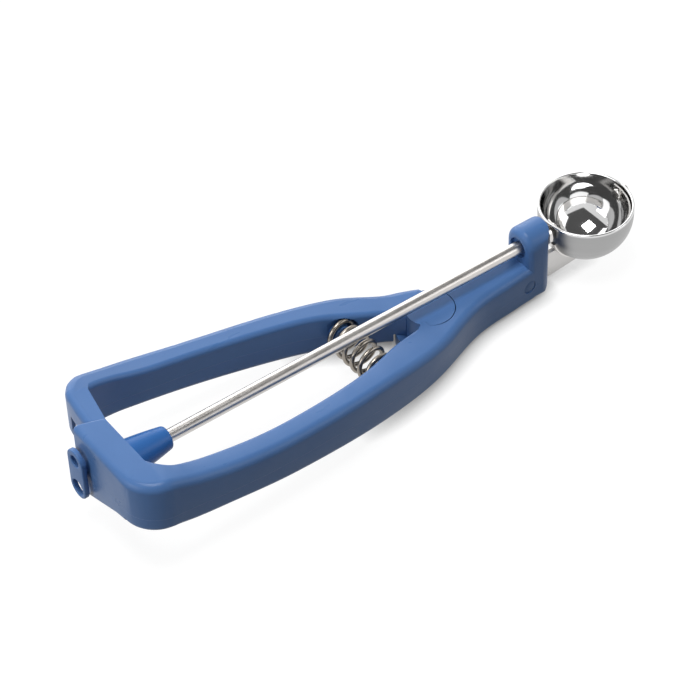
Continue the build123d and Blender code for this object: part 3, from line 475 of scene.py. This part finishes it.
def makeFrame(settings):  # a copy, with the short step beside the rear corner blended away
    bm = bmesh.new()
    bm.from_mesh(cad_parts["handle_frame"].data)
    bmesh.ops.remove_doubles(bm, verts=bm.verts[:], dist=mergeDistance)
    place = Vector(settings["stepPlace"]) * mm
    reach = settings["reach"] * mm
    close = [edge for edge in bm.edges
             if all((end.co - place).length < reach for end in edge.verts)]
    bmesh.ops.subdivide_edges(bm, edges=close, cuts=settings["cuts"], use_grid_fill=True)
    near = [point for point in bm.verts if (point.co - place).length < reach]
    for _ in range(settings["passes"]):
        bmesh.ops.smooth_vert(
            bm, verts=near, factor=settings["strength"],
            use_axis_x=True, use_axis_y=True, use_axis_z=True,
        )
    replaceNode(bm, "handleFrame", "handle_frame")
    print("frame made, step blended over", len(near), "points")


makeFrame(frameSettings)

tabSettings = {
    "thick": 1.8, "edge": 0.4, "arcSteps": 16, "edgeSteps": 3,
    "hole": 2.95, "holeRise": 4.2, "smallHole": 2.15, "spacing": 11.9,
    "boss": 2.2, "bossRise": 11.0, "bossLength": 1.1, "bossSink": 0.1, "bossSides": 48,
}
roundPull = 0.5523  # handles that turn a curve through a quarter circle, as a share of its radius


def addRound(curve, middle, radius, straight=0.0):  # a circle, or an upright slot with round ends
    pull = radius * roundPull
    half = [(radius, straight, 0, pull), (0, radius + straight, -pull, 0)]
    if straight:
        half.append((-radius, straight, 0, -pull))
    places = half + [tuple(-value for value in place) for place in half]
    spline = curve.splines.new("BEZIER")
    spline.bezier_points.add(len(places) - 1)
    spline.use_cyclic_u = True
    points = spline.bezier_points
    for point, (across, rise, pullAcross, pullRise) in zip(points, places):
        place = Vector((middle[0] + across, middle[1] + rise, 0))
        pulled = Vector((pullAcross, pullRise, 0))
        point.handle_left_type = point.handle_right_type = "FREE"
        point.co = place
        point.handle_left = place - pulled
        point.handle_right = place + pulled
    if straight:  # the slot's sides run straight between the round ends
        for start, end in ((points[2], points[3]), (points[5], points[0])):
            start.handle_right = start.co.lerp(end.co, 1 / 3)
            end.handle_left = start.co.lerp(end.co, 2 / 3)


def makeTab(settings):
    low, high, middle = boxOf("hanging_tab")
    edge = settings["edge"] * mm
    halfThick = settings["thick"] * mm / 2
    curve = bpy.data.curves.new("tabOutline", "CURVE")
    curve.dimensions = "2D"
    curve.fill_mode = "BOTH"
    curve.resolution_u = settings["arcSteps"]
    curve.extrude = halfThick - edge
    curve.bevel_depth = edge
    curve.bevel_resolution = settings["edgeSteps"]
    curve.offset = -edge
    radius = (high.y - low.y) / 2
    addRound(curve, (middle.y, middle.z), radius, (high.z - low.z) / 2 - radius)
    holeZ = low.z + settings["holeRise"] * mm
    addRound(curve, (middle.y, holeZ), settings["hole"] * mm)
    smallZ = holeZ + settings["spacing"] * mm
    addRound(curve, (middle.y, smallZ), settings["smallHole"] * mm)
    outline = bpy.data.objects.new("tabOutline", curve)
    bm = bmesh.new()
    bm.from_mesh(bpy.data.meshes.new_from_object(outline))
    bpy.data.objects.remove(outline)
    upright = Matrix(((0, 0, 1, low.x + halfThick), (1, 0, 0, 0), (0, 1, 0, 0), (0, 0, 0, 1)))
    bmesh.ops.transform(bm, matrix=upright, verts=bm.verts[:])
    bmesh.ops.remove_doubles(bm, verts=bm.verts[:], dist=mergeDistance)
    bossStart = low.x + (settings["thick"] - settings["bossSink"]) * mm
    bossLength = (settings["bossLength"] + settings["bossSink"]) * mm
    bossPlace = (bossStart + bossLength / 2, middle.y, low.z + settings["bossRise"] * mm)
    bmesh.ops.create_cone(
        bm, cap_ends=True, segments=settings["bossSides"], radius1=settings["boss"] * mm,
        radius2=settings["boss"] * mm, depth=bossLength,
        matrix=Matrix.Translation(bossPlace) @ Matrix.Rotation(math.pi / 2, 4, "Y"),
    )
    bmesh.ops.recalc_face_normals(bm, faces=bm.faces[:])
    replaceNode(bm, "hangingTab", "hanging_tab")


makeTab(tabSettings)
print("tab made")

plugSettings = {"radius": 2.32, "thick": 0.24, "edge": 0.07, "edgeSteps": 3, "sides": 64}


def makePlugs(settings):  # moulded plugs that close the ring over each end of the shank's pin
    low, high, middle = boxOf("shank_pin")
    for name, end, outwards in (("pinPlugNear", low.y, 90), ("pinPlugFar", high.y, -90)):
        bm = bmesh.new()
        bmesh.ops.create_circle(
            bm, cap_ends=True, segments=settings["sides"], radius=settings["radius"] * mm,
        )
        lift = bmesh.ops.extrude_face_region(bm, geom=bm.faces[:])
        raised = [part for part in lift["geom"] if isinstance(part, bmesh.types.BMVert)]
        bmesh.ops.translate(bm, vec=(0, 0, settings["thick"] * mm), verts=raised)
        rim = [edge for edge in bm.edges if all(corner in raised for corner in edge.verts)]
        bmesh.ops.bevel(
            bm, geom=rim, offset=settings["edge"] * mm, affect="EDGES",
            segments=settings["edgeSteps"], profile=0.5, material=-1,
        )
        turn = Matrix.Rotation(math.radians(outwards), 4, "X")
        place = Matrix.Translation((middle.x, end, middle.z)) @ turn
        bmesh.ops.transform(bm, matrix=place, verts=bm.verts[:])
        bmesh.ops.recalc_face_normals(bm, faces=bm.faces[:])
        addPiece(bm, name, "blue_plastic")


makePlugs(plugSettings)
print("plugs made")


def backgroundRays(nodes, links):  # one for rays from the camera, gloss and glass, or else zero
    path = nodes.new("ShaderNodeLightPath")
    seen = mathNode(
        nodes, links, "MAXIMUM", path.outputs["Is Camera Ray"], path.outputs["Is Glossy Ray"],
    )
    return mathNode(nodes, links, "MAXIMUM", seen, path.outputs["Is Transmission Ray"])


def startStageMaterial(name):  # an output and a glow, for things that aren't part of the tool
    material = bpy.data.materials.new(name)
    material.use_nodes = True
    nodes, links = material.node_tree.nodes, material.node_tree.links
    nodes.clear()
    surface = nodes.new("ShaderNodeOutputMaterial").inputs["Surface"]
    return material, nodes, links, surface, nodes.new("ShaderNodeEmission")


def addStagePiece(bm, name, material):
    mesh = bpy.data.meshes.new(name)
    bm.to_mesh(mesh)
    bm.free()
    mesh.materials.append(material)
    piece = bpy.data.objects.new(name, mesh)
    scene.collection.objects.link(piece)
    return piece


floorSettings = {
    "size": 6.0, "albedo": 0.14, "glow": 0.91,
    "drop": 0.4,  # millimetres under the tool's lowest faces
    "contact": 6.0,  # millimetres over which a painted contact shadow darkens the floor close to the tool
    "contactSamples": 12,
}


def addFloor(settings):
    material, nodes, links, surface, glow = startStageMaterial("paleFloor")
    diffuse = nodes.new("ShaderNodeBsdfDiffuse")
    albedo = settings["albedo"]
    diffuse.inputs["Color"].default_value = (albedo, albedo, albedo, 1.0)
    # painted contact shadow: ambient occlusion dims the floor's glow where the tool lies close
    # above it
    paintedContactShadow = nodes.new("ShaderNodeAmbientOcclusion")
    paintedContactShadow.samples = settings["contactSamples"]
    paintedContactShadow.inputs["Distance"].default_value = settings["contact"] * mm
    seen = backgroundRays(nodes, links)
    bright = mathNode(nodes, links, "MULTIPLY", seen, settings["glow"])
    bright = mathNode(nodes, links, "MULTIPLY", bright, paintedContactShadow.outputs["AO"])
    links.new(bright, glow.inputs["Strength"])
    both = nodes.new("ShaderNodeAddShader")
    links.new(diffuse.outputs[0], both.inputs[0])
    links.new(glow.outputs[0], both.inputs[1])
    links.new(both.outputs[0], surface)
    bm = bmesh.new()
    bmesh.ops.create_grid(bm, x_segments=1, y_segments=1, size=settings["size"] / 2)
    bmesh.ops.translate(bm, vec=(0, 0, -settings["drop"] * mm), verts=bm.verts[:])
    addStagePiece(bm, "floor", material)


worldSettings = {"light": 0.08}


def addWorld(settings):  # white to what sees the background, and dim as a light
    world = bpy.data.worlds.new("studio")
    scene.world = world
    world.use_nodes = True
    nodes, links = world.node_tree.nodes, world.node_tree.links
    background = next(node for node in nodes if node.type == "BACKGROUND")
    background.inputs["Color"].default_value = (1.0, 1.0, 1.0, 1.0)
    seen = backgroundRays(nodes, links)
    strength = mapRange(nodes, links, seen, 0.0, 1.0, settings["light"], 1.0)
    links.new(strength, background.inputs["Strength"])


lampAim = (0.0, 0.0, 0.0)
lampSettings = {
    "softbox": {"place": (0.16, 0.98, 0.50), "size": 1.40, "power": 12.5},
    "overhead": {"place": (-0.15, 0.0, 1.15), "size": 0.5, "power": 8.5},
    "window": {"place": (-0.95, 0.05, 0.42), "size": 0.6, "power": 4.0},
    "fill": {"place": (0.68, -0.66, 0.52), "size": 0.5, "power": 1.6},
}


def facing(place, aim):  # stands at the place and looks at the aim
    direction = Vector(aim) - Vector(place)
    turn = direction.to_track_quat("-Z", "Y").to_matrix().to_4x4()
    return Matrix.Translation(place) @ turn


def addLamps(lamps):
    for name, settings in lamps.items():
        lamp = bpy.data.lights.new(name, "AREA")
        lamp.shape = "SQUARE"
        lamp.size = settings["size"]
        lamp.energy = settings["power"]
        thing = bpy.data.objects.new(name, lamp)
        thing.matrix_world = facing(settings["place"], lampAim)
        scene.collection.objects.link(thing)


ceilingSettings = {
    "place": (0.10, 0.0, 1.30), "aim": (0.05, 0.0, 0.02), "size": (3.4, 2.3), "shade": 0.11,
}


def addCeiling(settings):  # a dark ceiling that only the metal and the gloss see
    material, nodes, links, surface, glow = startStageMaterial("ceiling")
    glow.inputs["Strength"].default_value = settings["shade"]
    links.new(glow.outputs[0], surface)
    bm = bmesh.new()
    bmesh.ops.create_grid(bm, x_segments=1, y_segments=1, size=0.5)  # one metre square
    stretch = Matrix.Diagonal((*settings["size"], 1.0, 1.0))
    place = facing(settings["place"], settings["aim"]) @ stretch
    bmesh.ops.transform(bm, matrix=place, verts=bm.verts[:])
    ceiling = addStagePiece(bm, "ceiling", material)
    ceiling.visible_camera = False
    ceiling.visible_diffuse = False
    ceiling.visible_shadow = False
    ceiling.visible_transmission = False


addFloor(floorSettings)
addWorld(worldSettings)
addLamps(lampSettings)
addCeiling(ceilingSettings)
print("floor, world, lamps and ceiling placed")
